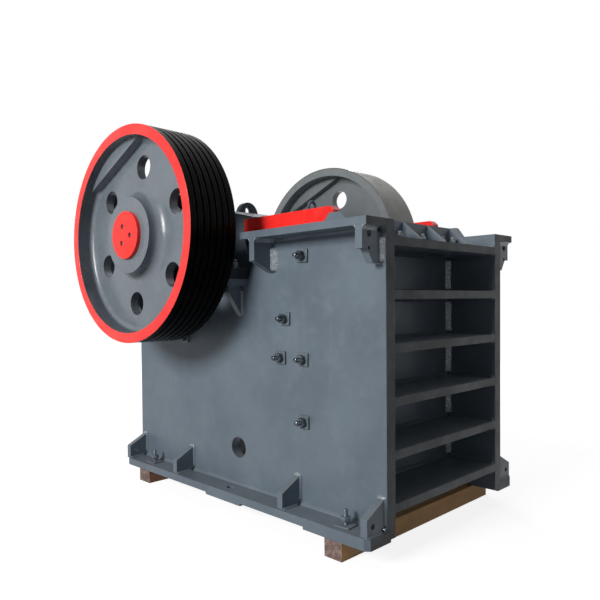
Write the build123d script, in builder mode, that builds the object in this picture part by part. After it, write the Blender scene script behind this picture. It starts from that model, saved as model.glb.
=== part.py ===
from build123d import *
import math
import os

os.makedirs("parts", exist_ok=True)

# Stance: the machine stands on two timbers, the origin is on the ground
timber_height = 100.0
pad_thickness = 14.0
front_timber_width = 110.0
front_timber_length = 1530.0
front_timber_inset = 220.0
rear_timber_width = 125.0
rear_timber_length = 1440.0
rear_timber_inset = 182.5

# Main shaft and wheels
shaft_height = 1626.0
shaft_from_front = 1565.0
wheel_radius = 675.0
wheel_width = 330.0
wheel_clearance = 20.0

# Side frames
frame_length = 2180.0
frame_height = 1600.0
side_gap = 1088.0
side_thickness = 70.0
cap_thickness = 40.0
flange_reach = 160.0
top_flange_length = 880.0
step_run = 120.0
bearing_height = 286.0
seat_rear_inset = 10.0
side_hole_radius = 65.0
side_hole_offset = 3.0
side_hole_height = 290.0

# Base flanges
base_flange_thickness = 45.0
base_flange_inset = 15.0
base_corner_radius = 60.0
base_corner_chamfer = 25.0
pad_overlap = 30.0
front_pad_length = 414.0
middle_pad_length = 317.0
middle_pad_offset = 24.5
anchor_hole_radius = 22.5
anchor_offset = 80.0
anchor_front_inset = 194.0
anchor_middle_offset = 10.0
anchor_rear_inset = 280.0

# Gussets
gusset_thickness = 40.0
gusset_setback = 10.0
gusset_snipe = 22.0
base_gusset_edge = 89.0
base_gusset_height = 163.0
base_gusset_front_inset = 32.0
base_gusset_second_offset = 500.0
base_gusset_third_offset = -470.0
base_gusset_rear_inset = 45.0
base_gusset_hole_radius = 14.0
base_gusset_hole_rise = 50.0
base_gusset_hole_offset = 104.0
top_gusset_front_edge = 113.0
top_gusset_front_height = 178.0
top_gusset_rear_edge = 127.0
top_gusset_rear_height = 191.0
top_gusset_foot = 41.0
top_gusset_nose = 74.0
top_gusset_heel = 16.0
top_gusset_front_inset = 45.0
top_gusset_rear_inset = 98.0
sling_hole_radius = 19.0
sling_hole_drop = 36.0
sling_hole_offset = 104.0
root_hole_radius = 21.0
root_hole_drop = 7.0
root_hole_offset = 18.0
foot_hole_radius = 9.0
foot_hole_drop = 108.0
foot_hole_offset = 104.0
seat_gusset_reach = 110.0
seat_gusset_edge = 39.0
seat_gusset_height = 190.0
seat_gusset_front_inset = 60.0
seat_gusset_rear_inset = 25.0

# Front frame
compartment_depth = 315.0
front_wall_thickness = 50.0
shelf_thickness = 45.0
bottom_beam_rise = 144.0
shelf_count = 4
top_beam_drop = 104.5

# Feed guard
guard_width = 640.0
guard_offset = 97.5
guard_height = 102.0
guard_thickness = 20.0
guard_setback = 115.0
guard_gusset_near_inset = 136.5
guard_gusset_far_inset = 11.5
guard_gusset_run = 107.0
guard_gusset_tip = 3.0

# Crushing chamber
fixed_body_thickness = 55.0
fixed_tooth_depth = 35.0
fixed_plate_bottom = 300.0
fixed_top_drop = 10.0
fixed_side_clearance = 2.0
fixed_tooth_count = 10
tooth_gap = 14.0
tooth_side_margin = 16.0
tooth_flank_angle = 60.0
ledge_height = 50.0
ledge_depth = 48.0
nip_angle = 19.1
discharge_gap = 80.0
jaw_bottom = 300.0
jaw_rise = 1445.0
jaw_side_clearance = 14.0
swing_body_thickness = 36.0
swing_tooth_depth = 30.0
swing_plate_short = 60.0
cheek_thickness = 65.0
cheek_rise = 118.0
cheek_split = 990.0
cheek_split_gap = 4.0
cheek_bottom = 330.0
cheek_top_bevel = 23.0
cheek_front_gap = 15.0

# Cheek stops on the top flange
stop_thickness = 40.0
stop_height = 67.0
stop_foot_length = 175.0
stop_head_length = 79.0

# Swing jaw casting
head_radius = 230.0
jaw_wall_thickness = 80.0
jaw_web_thickness = 70.0
jaw_rib_thickness = 60.0
jaw_rib_count = 4
toe_depth = 190.0
toe_height = 190.0
rib_root_angle = 105.0
lift_lug_radius = 95.0
lift_lug_thickness = 40.0
lift_lug_hole_radius = 34.0
lift_lug_hole_rise = 30.0
lift_lug_setback = 80.0
lift_lug_rise = 229.0

# Toggle
toggle_thickness = 50.0
toggle_width = 800.0
toggle_rear_height = 330.0
toggle_front_height = 395.0
toggle_seat_width = 840.0
toggle_seat_depth = 45.0
toggle_seat_height = 100.0
toggle_proud = 5.0
seat_clearance = 0.3
toggle_block_depth = 365.0
toggle_block_bottom = 250.0
toggle_block_height = 160.0

# Rear frame
rear_wall_setback = 300.0
rear_wall_thickness = 50.0
rear_wall_top = 1180.0
rear_shelf_first = 60.0
rear_shelf_second = 480.0
rear_shelf_third = 820.0

# Tension rod and spring
rod_radius = 22.0
rod_height = 215.0
rod_hole_radius = 30.0
rod_eye_radius = 46.0
rod_eye_thickness = 52.0
rod_eye_setback = 95.0
rod_tail = 15.0
pin_radius = 20.0
pin_length = 124.0
rod_lug_thickness = 25.0
rod_lug_gap = 54.0
spring_radius = 55.0
spring_bore_radius = 33.0
spring_length = 228.0
spring_turns = 7
spring_wire_gap = 8.0
washer_radius = 60.0
washer_thickness = 12.0
nut_across_flats = 70.0
nut_thickness = 28.0

# Main bearings
housing_width = 200.0
housing_radius = 290.0
housing_length = 1000.0
housing_base_height = 70.0
shoulder_foot = 370.0
shoulder_top = 215.0
shoulder_rise = 150.0
journal_radius = 110.0
journal_clearance = 0.3
cover_radius = 210.0
cover_thickness = 25.0
cover_clearance = 5.0

# Eccentric shaft
shaft_end_radius = 90.0
eccentric_radius = 130.0
eccentricity = 20.0
eccentric_angle = -66.0
eccentric_length = 920.0
eccentric_clearance = 5.0
collar_radius = 125.0
collar_length = 53.0
journal_end_inset = 3.0
hub_fit = 0.3

# Wheel form
rim_thickness = 63.0
recess_depth = 116.0
web_thickness = 60.0
hub_radius = 238.0
hub_setback = 24.0
hub_back_setback = 20.0
hub_fillet = 70.0
rim_fillet = 35.0
wheel_hole_radius = 75.0
wheel_hole_circle = 431.0
wheel_hole_count = 6
wheel_hole_angle = 23.3
weight_chord = 521.0
weight_height = 60.0
weight_angle = 24.0
end_cap_radius = 148.0
cap_bolt_count = 3
cap_bolt_circle = 60.0
cap_bolt_angle = -5.0
cap_bolt_recess_radius = 17.0
cap_bolt_recess_depth = 16.0
shaft_end_gap = 1.0

# Belt grooves
groove_count = 6
groove_pitch = 46.0
groove_width = 33.0
groove_depth = 28.0
groove_angle = 72.0

# Levels and stations worked out from the sizes above
plate_z = timber_height + pad_thickness
shaft_z = timber_height + shaft_height
front_x = (shaft_from_front + wheel_radius) / 2
shaft_x = front_x - shaft_from_front
rear_x = front_x - frame_length
middle_x = (front_x + rear_x) / 2
side_in_y = side_gap / 2
side_out_y = side_in_y + side_thickness
flange_y = side_out_y + flange_reach
frame_top_z = timber_height + frame_height
cap_bottom_z = frame_top_z - cap_thickness
seat_z = shaft_z - bearing_height
seat_bottom_z = seat_z - cap_thickness
step_x = front_x - top_flange_length
seat_front_x = step_x - step_run
base_top_z = plate_z + base_flange_thickness
base_rear_x = rear_x + base_flange_inset
gusset_y = flange_y - gusset_setback
anchor_y = side_out_y + anchor_offset
anchor_front_x = front_x - anchor_front_inset
anchor_middle_x = middle_x + anchor_middle_offset
anchor_rear_x = rear_x + anchor_rear_inset
base_gusset_front_x = front_x - base_gusset_front_inset
base_gusset_second_x = middle_x + base_gusset_second_offset
base_gusset_third_x = middle_x + base_gusset_third_offset
base_gusset_rear_x = rear_x + base_gusset_rear_inset
top_gusset_front_x = front_x - top_gusset_front_inset
top_gusset_rear_x = step_x + top_gusset_rear_inset
seat_gusset_front_x = seat_front_x - seat_gusset_front_inset
seat_gusset_rear_x = rear_x + seat_rear_inset + seat_gusset_rear_inset
wheel_in_y = flange_y + wheel_clearance
wheel_out_y = wheel_in_y + wheel_width
wall_front_x = front_x - compartment_depth
wall_back_x = wall_front_x - front_wall_thickness
top_beam_z = frame_top_z - top_beam_drop
bottom_beam_z = plate_z + bottom_beam_rise
shelf_pitch = (top_beam_z - bottom_beam_z) / (shelf_count + 1)
fixed_root_x = wall_back_x - fixed_body_thickness
fixed_tip_x = fixed_root_x - fixed_tooth_depth
chamber_width = side_gap - 2 * cheek_thickness
jaw_width = chamber_width - 2 * jaw_side_clearance
toothed_width = chamber_width - 2 * tooth_side_margin
tooth_root_width = (toothed_width - (fixed_tooth_count - 1) * tooth_gap) / fixed_tooth_count
tooth_pitch = tooth_root_width + tooth_gap
fixed_bottom_z = timber_height + fixed_plate_bottom
jaw_slope = math.tan(math.radians(nip_angle))
jaw_cos = math.cos(math.radians(nip_angle))
jaw_sin = math.sin(math.radians(nip_angle))
swing_plate_thickness = swing_body_thickness + swing_tooth_depth
jaw_bottom_z = timber_height + jaw_bottom
jaw_top_z = jaw_bottom_z + jaw_rise
casting_bottom_x = fixed_tip_x - discharge_gap - swing_plate_thickness * jaw_cos
casting_top_x = casting_bottom_x - jaw_rise * jaw_slope
cheek_top_z = frame_top_z + cheek_rise
cheek_bottom_z = timber_height + cheek_bottom
cheek_split_z = timber_height + cheek_split
toe_back_x = casting_bottom_x - toe_depth
toe_top_z = jaw_bottom_z + toe_height
wall_run = jaw_wall_thickness / jaw_cos
rear_wall_x = rear_x + rear_wall_setback
rear_wall_front_x = rear_wall_x + rear_wall_thickness
block_front_x = rear_wall_front_x + toggle_block_depth
toggle_rear_x = block_front_x + toggle_proud
toggle_front_x = toe_back_x - toggle_proud
toggle_rear_z = timber_height + toggle_rear_height
toggle_front_z = timber_height + toggle_front_height
rod_z = timber_height + rod_height
rod_eye_x = casting_bottom_x - rod_eye_setback
lift_lug_x = shaft_x - lift_lug_setback
lift_lug_z = shaft_z + lift_lug_rise
hub_out_y = wheel_out_y - hub_setback
web_out_y = wheel_out_y - recess_depth
web_in_y = web_out_y - web_thickness
housing_out_y = side_in_y + housing_width
eccentric_end_y = eccentric_length / 2
collar_end_y = eccentric_end_y + collar_length
shaft_axis = Axis((shaft_x, 0, shaft_z), (0, 1, 0))

# Side plate: a heavy plate, tall at the feed end, stepped down under the bearings
with BuildPart() as side_plate_near:
    with BuildSketch(Plane.XZ.offset(side_in_y)):
        with BuildLine():
            Polyline(
                (front_x, plate_z),
                (front_x, cap_bottom_z),
                (step_x, cap_bottom_z),
                (seat_front_x, seat_bottom_z),
                (rear_x, seat_bottom_z),
                (rear_x, plate_z),
                close=True,
            )
        make_face()
        with Locations((middle_x + side_hole_offset, timber_height + side_hole_height)):
            Circle(side_hole_radius, mode=Mode.SUBTRACT)
    extrude(amount=side_thickness)
side_plate_near.part.label = "side_plate_near"
export_step(side_plate_near.part, "parts/side_plate_near.step")

with BuildPart() as side_plate_far:
    mirror(side_plate_near.part, about=Plane.XZ)
side_plate_far.part.label = "side_plate_far"
export_step(side_plate_far.part, "parts/side_plate_far.step")

# Base flange with its machined pads and anchor holes
with BuildPart() as base_flange_near:
    with BuildSketch(Plane.XY.offset(plate_z)):
        with Locations(((base_rear_x + front_x) / 2, -(side_out_y + flange_y) / 2)):
            Rectangle(front_x - base_rear_x, flange_reach)
        outer_corners = vertices().group_by(Axis.Y)[0].sort_by(Axis.X)
        fillet(outer_corners[0], radius=base_corner_radius)
        chamfer(vertices().group_by(Axis.Y)[0].sort_by(Axis.X)[-1], length=base_corner_chamfer)
    extrude(amount=base_flange_thickness)
    with BuildSketch(Plane.XY.offset(timber_height)):
        with Locations((front_x - front_pad_length / 2, -(side_out_y - pad_overlap + flange_y) / 2)):
            Rectangle(front_pad_length, flange_reach + pad_overlap)
            chamfer(vertices().group_by(Axis.Y)[0].sort_by(Axis.X)[-1], length=base_corner_chamfer)
        with Locations((middle_x + middle_pad_offset, -(side_out_y - pad_overlap + flange_y) / 2)):
            Rectangle(middle_pad_length, flange_reach + pad_overlap)
    extrude(amount=pad_thickness)
    with Locations(
        (anchor_front_x, -anchor_y, base_top_z),
        (anchor_middle_x, -anchor_y, base_top_z),
        (anchor_rear_x, -anchor_y, base_top_z),
    ):
        Hole(anchor_hole_radius)
base_flange_near.part.label = "base_flange_near"
export_step(base_flange_near.part, "parts/base_flange_near.step")

with BuildPart() as base_flange_far:
    mirror(base_flange_near.part, about=Plane.XZ)
base_flange_far.part.label = "base_flange_far"
export_step(base_flange_far.part, "parts/base_flange_far.step")

# Gussets between the base flange and the side plate, the end ones with an eye
with BuildPart() as base_gussets_near:
    with BuildSketch(
        Plane.YZ.offset(base_gusset_front_x),
        Plane.YZ.offset(base_gusset_second_x),
        Plane.YZ.offset(base_gusset_third_x),
        Plane.YZ.offset(base_gusset_rear_x),
    ):
        with BuildLine():
            Polyline(
                (-side_out_y, base_top_z + gusset_snipe),
                (-side_out_y - gusset_snipe, base_top_z),
                (-gusset_y, base_top_z),
                (-gusset_y, base_top_z + base_gusset_edge),
                (-side_out_y, base_top_z + base_gusset_height),
                close=True,
            )
        make_face()
    extrude(amount=gusset_thickness / 2, both=True)
    with BuildSketch(
        Plane.YZ.offset(base_gusset_front_x),
        Plane.YZ.offset(base_gusset_rear_x),
    ):
        with Locations((-side_out_y - base_gusset_hole_offset, base_top_z + base_gusset_hole_rise)):
            Circle(base_gusset_hole_radius)
    extrude(amount=gusset_thickness / 2, both=True, mode=Mode.SUBTRACT)
base_gussets_near.part.label = "base_gussets_near"
export_step(base_gussets_near.part, "parts/base_gussets_near.step")

with BuildPart() as base_gussets_far:
    mirror(base_gussets_near.part, about=Plane.XZ)
base_gussets_far.part.label = "base_gussets_far"
export_step(base_gussets_far.part, "parts/base_gussets_far.step")

# Top flange beside the feed opening
with BuildPart() as top_flange_near:
    with BuildSketch(Plane.XY.offset(cap_bottom_z)):
        with Locations(((step_x + front_x) / 2, -(side_in_y + flange_y) / 2)):
            Rectangle(top_flange_length, side_thickness + flange_reach)
    extrude(amount=cap_thickness)
top_flange_near.part.label = "top_flange_near"
export_step(top_flange_near.part, "parts/top_flange_near.step")

with BuildPart() as top_flange_far:
    mirror(top_flange_near.part, about=Plane.XZ)
top_flange_far.part.label = "top_flange_far"
export_step(top_flange_far.part, "parts/top_flange_far.step")

# Bearing seat on the lower part of the side plate
seat_length = seat_front_x - rear_x - seat_rear_inset
with BuildPart() as bearing_seat_near:
    with BuildSketch(Plane.XY.offset(seat_bottom_z)):
        with Locations((seat_front_x - seat_length / 2, -(side_in_y + flange_y) / 2)):
            Rectangle(seat_length, side_thickness + flange_reach)
    extrude(amount=cap_thickness)
bearing_seat_near.part.label = "bearing_seat_near"
export_step(bearing_seat_near.part, "parts/bearing_seat_near.step")

with BuildPart() as bearing_seat_far:
    mirror(bearing_seat_near.part, about=Plane.XZ)
bearing_seat_far.part.label = "bearing_seat_far"
export_step(bearing_seat_far.part, "parts/bearing_seat_far.step")

# Gussets under the top flange, the front one with its sling holes, and under the bearing seat
with BuildPart() as top_gussets_near:
    with BuildSketch(Plane.YZ.offset(top_gusset_front_x)):
        with BuildLine():
            Polyline(
                (-side_out_y, cap_bottom_z),
                (-flange_y, cap_bottom_z),
                (-flange_y, cap_bottom_z - top_gusset_front_edge),
                (-flange_y + top_gusset_foot, cap_bottom_z - top_gusset_front_edge),
                (-side_out_y - top_gusset_nose, cap_bottom_z - top_gusset_front_height),
                (-side_out_y, cap_bottom_z - top_gusset_front_height),
                close=True,
            )
        make_face()
    with BuildSketch(Plane.YZ.offset(top_gusset_rear_x)):
        with BuildLine():
            Polyline(
                (-side_out_y, cap_bottom_z),
                (-flange_y, cap_bottom_z),
                (-flange_y, cap_bottom_z - top_gusset_rear_edge),
                (-side_out_y - top_gusset_heel, cap_bottom_z - top_gusset_rear_height),
                (-side_out_y, cap_bottom_z - top_gusset_rear_height),
                close=True,
            )
        make_face()
    extrude(amount=gusset_thickness / 2, both=True)
    with BuildSketch(Plane.YZ.offset(top_gusset_front_x)):
        with Locations((-side_out_y - sling_hole_offset, cap_bottom_z - sling_hole_drop)):
            Circle(sling_hole_radius)
        with Locations((-side_out_y - root_hole_offset, cap_bottom_z - root_hole_drop)):
            Circle(root_hole_radius)
        with Locations((-side_out_y - foot_hole_offset, cap_bottom_z - foot_hole_drop)):
            Circle(foot_hole_radius)
    extrude(amount=gusset_thickness / 2, both=True, mode=Mode.SUBTRACT)
    with BuildSketch(
        Plane.YZ.offset(seat_gusset_front_x),
        Plane.YZ.offset(seat_gusset_rear_x),
    ):
        with BuildLine():
            Polyline(
                (-side_out_y, seat_bottom_z - gusset_snipe),
                (-side_out_y - gusset_snipe, seat_bottom_z),
                (-side_out_y - seat_gusset_reach, seat_bottom_z),
                (-side_out_y - seat_gusset_reach, seat_bottom_z - seat_gusset_edge),
                (-side_out_y, seat_bottom_z - seat_gusset_height),
                close=True,
            )
        make_face()
    extrude(amount=gusset_thickness / 2, both=True)
top_gussets_near.part.label = "top_gussets_near"
export_step(top_gussets_near.part, "parts/top_gussets_near.step")

with BuildPart() as top_gussets_far:
    mirror(top_gussets_near.part, about=Plane.XZ)
top_gussets_far.part.label = "top_gussets_far"
export_step(top_gussets_far.part, "parts/top_gussets_far.step")

# Front wall that backs the fixed jaw, with the ledge that carries the jaw plate
wall_bottom_z = bottom_beam_z - shelf_thickness / 2
with BuildPart() as front_wall:
    with BuildSketch(Plane.XZ):
        with BuildLine():
            Polyline(
                (wall_front_x, wall_bottom_z),
                (wall_front_x, frame_top_z),
                (wall_back_x, frame_top_z),
                (wall_back_x, fixed_bottom_z),
                (wall_back_x - ledge_depth, fixed_bottom_z),
                (wall_back_x - ledge_depth, fixed_bottom_z - ledge_height),
                (wall_back_x, fixed_bottom_z - ledge_height - ledge_depth),
                (wall_back_x, wall_bottom_z),
                close=True,
            )
        make_face()
    extrude(amount=side_in_y, both=True)
front_wall.part.label = "front_wall"
export_step(front_wall.part, "parts/front_wall.step")

# Cross members of the front frame, all flush with the front edges
shelf_x = (wall_front_x + front_x) / 2
with BuildPart() as front_top_beam:
    with BuildSketch(Plane.XY.offset(top_beam_z)):
        with Locations((shelf_x, 0)):
            Rectangle(compartment_depth, side_gap)
    extrude(amount=shelf_thickness / 2, both=True)
front_top_beam.part.label = "front_top_beam"
export_step(front_top_beam.part, "parts/front_top_beam.step")

with BuildPart() as front_shelves:
    with BuildSketch(*[Plane.XY.offset(top_beam_z - n * shelf_pitch) for n in range(1, shelf_count + 1)]):
        with Locations((shelf_x, 0)):
            Rectangle(compartment_depth, side_gap)
    extrude(amount=shelf_thickness / 2, both=True)
front_shelves.part.label = "front_shelves"
export_step(front_shelves.part, "parts/front_shelves.step")

with BuildPart() as front_bottom_beam:
    with BuildSketch(Plane.XY.offset(bottom_beam_z)):
        with Locations((shelf_x, 0)):
            Rectangle(compartment_depth, side_gap)
    extrude(amount=shelf_thickness / 2, both=True)
front_bottom_beam.part.label = "front_bottom_beam"
export_step(front_bottom_beam.part, "parts/front_bottom_beam.step")

# Feed guard: an upright plate with three gussets on the top beam
guard_z = top_beam_z + shelf_thickness / 2
guard_x = front_x - guard_setback
guard_gusset_near = guard_offset + guard_width / 2 - guard_gusset_near_inset
guard_gusset_far = guard_offset - guard_width / 2 + guard_gusset_far_inset
with BuildPart() as feed_guard:
    with BuildSketch(Plane.XY.offset(guard_z)):
        with Locations((guard_x - guard_thickness / 2, -guard_offset)):
            Rectangle(guard_thickness, guard_width)
    extrude(amount=guard_height)
    with BuildSketch(
        Plane.XZ.offset(guard_gusset_near),
        Plane.XZ.offset((guard_gusset_near + guard_gusset_far) / 2),
        Plane.XZ.offset(guard_gusset_far),
    ):
        with BuildLine():
            Polyline(
                (guard_x, guard_z),
                (guard_x + guard_gusset_run, guard_z),
                (guard_x + guard_gusset_run, guard_z + guard_gusset_tip),
                (guard_x, guard_z + guard_height - guard_gusset_tip),
                close=True,
            )
        make_face()
    extrude(amount=guard_thickness / 2, both=True)
feed_guard.part.label = "feed_guard"
export_step(feed_guard.part, "parts/feed_guard.step")

# Rear frame: a lower wall with cross members, the adjusting block stands against it
with BuildPart() as rear_wall:
    with BuildSketch(Plane.YZ.offset(rear_wall_x)):
        with Locations((0, (plate_z + timber_height + rear_wall_top) / 2)):
            Rectangle(side_gap, timber_height + rear_wall_top - plate_z)
        with Locations((0, rod_z)):
            Circle(rod_hole_radius, mode=Mode.SUBTRACT)
    extrude(amount=rear_wall_thickness)
rear_wall.part.label = "rear_wall"
export_step(rear_wall.part, "parts/rear_wall.step")

with BuildPart() as rear_shelves:
    with BuildSketch(
        Plane.XY.offset(timber_height + rear_shelf_first),
        Plane.XY.offset(timber_height + rear_shelf_second),
        Plane.XY.offset(timber_height + rear_shelf_third),
        Plane.XY.offset(timber_height + rear_wall_top - shelf_thickness / 2),
    ):
        with Locations((rear_x + rear_wall_setback / 2, 0)):
            Rectangle(rear_wall_setback, side_gap)
    extrude(amount=shelf_thickness / 2, both=True)
rear_shelves.part.label = "rear_shelves"
export_step(rear_shelves.part, "parts/rear_shelves.step")

# Fixed jaw plate with upright teeth
fixed_width = side_gap - 2 * fixed_side_clearance
with BuildPart() as fixed_jaw_plate:
    with BuildSketch(Plane.XY.offset(fixed_bottom_z)):
        with Locations((fixed_root_x + fixed_body_thickness / 2, 0)):
            Rectangle(fixed_body_thickness, fixed_width)
        with Locations(Location((fixed_root_x - fixed_tooth_depth / 2, 0), 90)):
            with GridLocations(tooth_pitch, tooth_pitch, fixed_tooth_count, 1):
                Trapezoid(tooth_root_width, fixed_tooth_depth, tooth_flank_angle)
    extrude(amount=frame_top_z - fixed_top_drop - fixed_bottom_z)
fixed_jaw_plate.part.label = "fixed_jaw_plate"
export_step(fixed_jaw_plate.part, "parts/fixed_jaw_plate.step")

# Swing jaw plate: its teeth run down the sloping face and stand between the fixed ones
swing_plane = Plane(
    origin=(casting_bottom_x, 0, jaw_bottom_z),
    x_dir=(0, -1, 0),
    z_dir=(-jaw_sin, 0, jaw_cos),
)
swing_length = jaw_rise / jaw_cos - swing_plate_short
with BuildPart() as swing_jaw_plate:
    with BuildSketch(swing_plane):
        with Locations((0, swing_body_thickness / 2)):
            Rectangle(jaw_width, swing_body_thickness)
        with Locations((0, swing_body_thickness + swing_tooth_depth / 2)):
            with GridLocations(tooth_pitch, tooth_pitch, fixed_tooth_count - 1, 1):
                Trapezoid(tooth_root_width, swing_tooth_depth, tooth_flank_angle)
    extrude(amount=swing_length)
swing_jaw_plate.part.label = "swing_jaw_plate"
export_step(swing_jaw_plate.part, "parts/swing_jaw_plate.step")

# Cheek plates line both sides of the chamber, their rear edges follow the swing jaw
cheek_front_x = wall_back_x - cheek_front_gap
upper_top_rear_x = casting_bottom_x - (cheek_top_z - jaw_bottom_z) * jaw_slope
upper_low_rear_x = casting_bottom_x - (cheek_split_z + cheek_split_gap / 2 - jaw_bottom_z) * jaw_slope
lower_top_rear_x = casting_bottom_x - (cheek_split_z - cheek_split_gap / 2 - jaw_bottom_z) * jaw_slope
lower_low_rear_x = casting_bottom_x - (cheek_bottom_z - jaw_bottom_z) * jaw_slope
with BuildPart() as cheek_plate_upper_near:
    with BuildSketch(Plane.XZ.offset(side_in_y)):
        with BuildLine():
            Polyline(
                (upper_top_rear_x, cheek_top_z),
                (cheek_front_x - cheek_top_bevel, cheek_top_z),
                (cheek_front_x, cheek_top_z - cheek_top_bevel),
                (cheek_front_x, frame_top_z),
                (fixed_root_x, frame_top_z),
                (fixed_root_x, cheek_split_z + cheek_split_gap / 2),
                (upper_low_rear_x, cheek_split_z + cheek_split_gap / 2),
                (upper_top_rear_x, frame_top_z),
                close=True,
            )
        make_face()
    extrude(amount=-cheek_thickness)
cheek_plate_upper_near.part.label = "cheek_plate_upper_near"
export_step(cheek_plate_upper_near.part, "parts/cheek_plate_upper_near.step")

with BuildPart() as cheek_plate_upper_far:
    mirror(cheek_plate_upper_near.part, about=Plane.XZ)
cheek_plate_upper_far.part.label = "cheek_plate_upper_far"
export_step(cheek_plate_upper_far.part, "parts/cheek_plate_upper_far.step")

with BuildPart() as cheek_plate_lower_near:
    with BuildSketch(Plane.XZ.offset(side_in_y)):
        with BuildLine():
            Polyline(
                (lower_top_rear_x, cheek_split_z - cheek_split_gap / 2),
                (fixed_root_x, cheek_split_z - cheek_split_gap / 2),
                (fixed_root_x, cheek_bottom_z),
                (lower_low_rear_x, cheek_bottom_z),
                close=True,
            )
        make_face()
    extrude(amount=-cheek_thickness)
cheek_plate_lower_near.part.label = "cheek_plate_lower_near"
export_step(cheek_plate_lower_near.part, "parts/cheek_plate_lower_near.step")

with BuildPart() as cheek_plate_lower_far:
    mirror(cheek_plate_lower_near.part, about=Plane.XZ)
cheek_plate_lower_far.part.label = "cheek_plate_lower_far"
export_step(cheek_plate_lower_far.part, "parts/cheek_plate_lower_far.step")

# Stops welded on the top flange beside the cheek plates
with BuildPart() as cheek_stop_near:
    with BuildSketch(Plane.XZ.offset(side_out_y)):
        with BuildLine():
            Polyline(
                (wall_front_x - stop_foot_length / 2, frame_top_z),
                (wall_front_x + stop_foot_length / 2, frame_top_z),
                (wall_front_x + stop_head_length / 2, frame_top_z + stop_height),
                (wall_front_x - stop_head_length / 2, frame_top_z + stop_height),
                close=True,
            )
        make_face()
    extrude(amount=-stop_thickness)
cheek_stop_near.part.label = "cheek_stop_near"
export_step(cheek_stop_near.part, "parts/cheek_stop_near.step")

with BuildPart() as cheek_stop_far:
    mirror(cheek_stop_near.part, about=Plane.XZ)
cheek_stop_far.part.label = "cheek_stop_far"
export_step(cheek_stop_far.part, "parts/cheek_stop_far.step")

# Swing jaw casting: round head, top web, front wall, ribs and toe with its toggle seat pocket
corner_run = casting_top_x - shaft_x
corner_rise = jaw_top_z - shaft_z
corner_distance = math.hypot(corner_run, corner_rise)
tangent_angle = math.atan2(corner_rise, corner_run) + math.acos(head_radius / corner_distance)
tangent_x = shaft_x + head_radius * math.cos(tangent_angle)
tangent_z = shaft_z + head_radius * math.sin(tangent_angle)
web_drop = jaw_web_thickness / math.sin(tangent_angle)
root_x = shaft_x + head_radius * math.cos(math.radians(rib_root_angle))
root_z = shaft_z - head_radius * math.sin(math.radians(rib_root_angle))
with BuildPart() as swing_jaw:
    with BuildSketch(Plane.XZ):
        with Locations((shaft_x, shaft_z)):
            Circle(head_radius)
        with BuildLine():
            Polyline(
                (tangent_x, tangent_z),
                (casting_top_x, jaw_top_z),
                (casting_bottom_x, jaw_bottom_z),
                (casting_bottom_x - wall_run, jaw_bottom_z),
                (casting_top_x - wall_run, jaw_top_z - web_drop),
                (tangent_x, tangent_z - web_drop),
                close=True,
            )
        make_face()
        with BuildLine():
            Polyline(
                (casting_bottom_x, jaw_bottom_z),
                (casting_bottom_x - toe_height * jaw_slope, toe_top_z),
                (toe_back_x, toe_top_z),
                (toe_back_x, jaw_bottom_z),
                close=True,
            )
        make_face()
    extrude(amount=jaw_width / 2, both=True)
    with BuildSketch(*[
        Plane.XZ.offset((n - (jaw_rib_count - 1) / 2) * (jaw_width - jaw_rib_thickness) / (jaw_rib_count - 1))
        for n in range(jaw_rib_count)
    ]):
        with BuildLine():
            Polyline(
                (tangent_x, tangent_z),
                (casting_top_x, jaw_top_z),
                (casting_bottom_x, jaw_bottom_z),
                (toe_back_x, jaw_bottom_z),
                (toe_back_x, toe_top_z),
                (root_x, root_z),
                close=True,
            )
        make_face()
    extrude(amount=jaw_rib_thickness / 2, both=True)
    with BuildSketch(Plane.YZ.offset(lift_lug_x)):
        with Locations((0, (shaft_z + lift_lug_z) / 2)):
            Rectangle(2 * lift_lug_radius, lift_lug_z - shaft_z)
        with Locations((0, lift_lug_z)):
            Circle(lift_lug_radius)
        with Locations((0, lift_lug_z + lift_lug_hole_rise)):
            Circle(lift_lug_hole_radius, mode=Mode.SUBTRACT)
    extrude(amount=lift_lug_thickness / 2, both=True)
    with BuildSketch(Plane.XZ):
        with Locations((shaft_x, shaft_z)):
            Circle(eccentric_radius + eccentricity + eccentric_clearance)
    extrude(amount=jaw_width / 2, both=True, mode=Mode.SUBTRACT)
    with BuildSketch(Plane.XZ):
        with Locations((toe_back_x + toggle_seat_depth / 2, toggle_front_z)):
            Rectangle(toggle_seat_depth, toggle_seat_height)
    extrude(amount=toggle_seat_width / 2, both=True, mode=Mode.SUBTRACT)
    with BuildSketch(
        Plane.XZ.offset((rod_lug_gap + rod_lug_thickness) / 2),
        Plane.XZ.offset(-(rod_lug_gap + rod_lug_thickness) / 2),
    ):
        with Locations((rod_eye_x, (rod_z + jaw_bottom_z) / 2)):
            Rectangle(2 * rod_eye_radius, jaw_bottom_z - rod_z)
        with Locations((rod_eye_x, rod_z)):
            Circle(rod_eye_radius)
            Circle(pin_radius + seat_clearance, mode=Mode.SUBTRACT)
    extrude(amount=rod_lug_thickness / 2, both=True)
swing_jaw.part.label = "swing_jaw"
export_step(swing_jaw.part, "parts/swing_jaw.step")

# Toggle seats, let into the jaw's toe and into the adjusting block
with BuildPart() as toggle_seat_front:
    with BuildSketch(Plane.XZ):
        with Locations((toe_back_x + toggle_seat_depth / 2, toggle_front_z)):
            Rectangle(toggle_seat_depth, toggle_seat_height)
        with Locations((toggle_front_x, toggle_front_z)):
            Circle(toggle_thickness / 2 + seat_clearance, mode=Mode.SUBTRACT)
    extrude(amount=toggle_seat_width / 2, both=True)
toggle_seat_front.part.label = "toggle_seat_front"
export_step(toggle_seat_front.part, "parts/toggle_seat_front.step")

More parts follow.
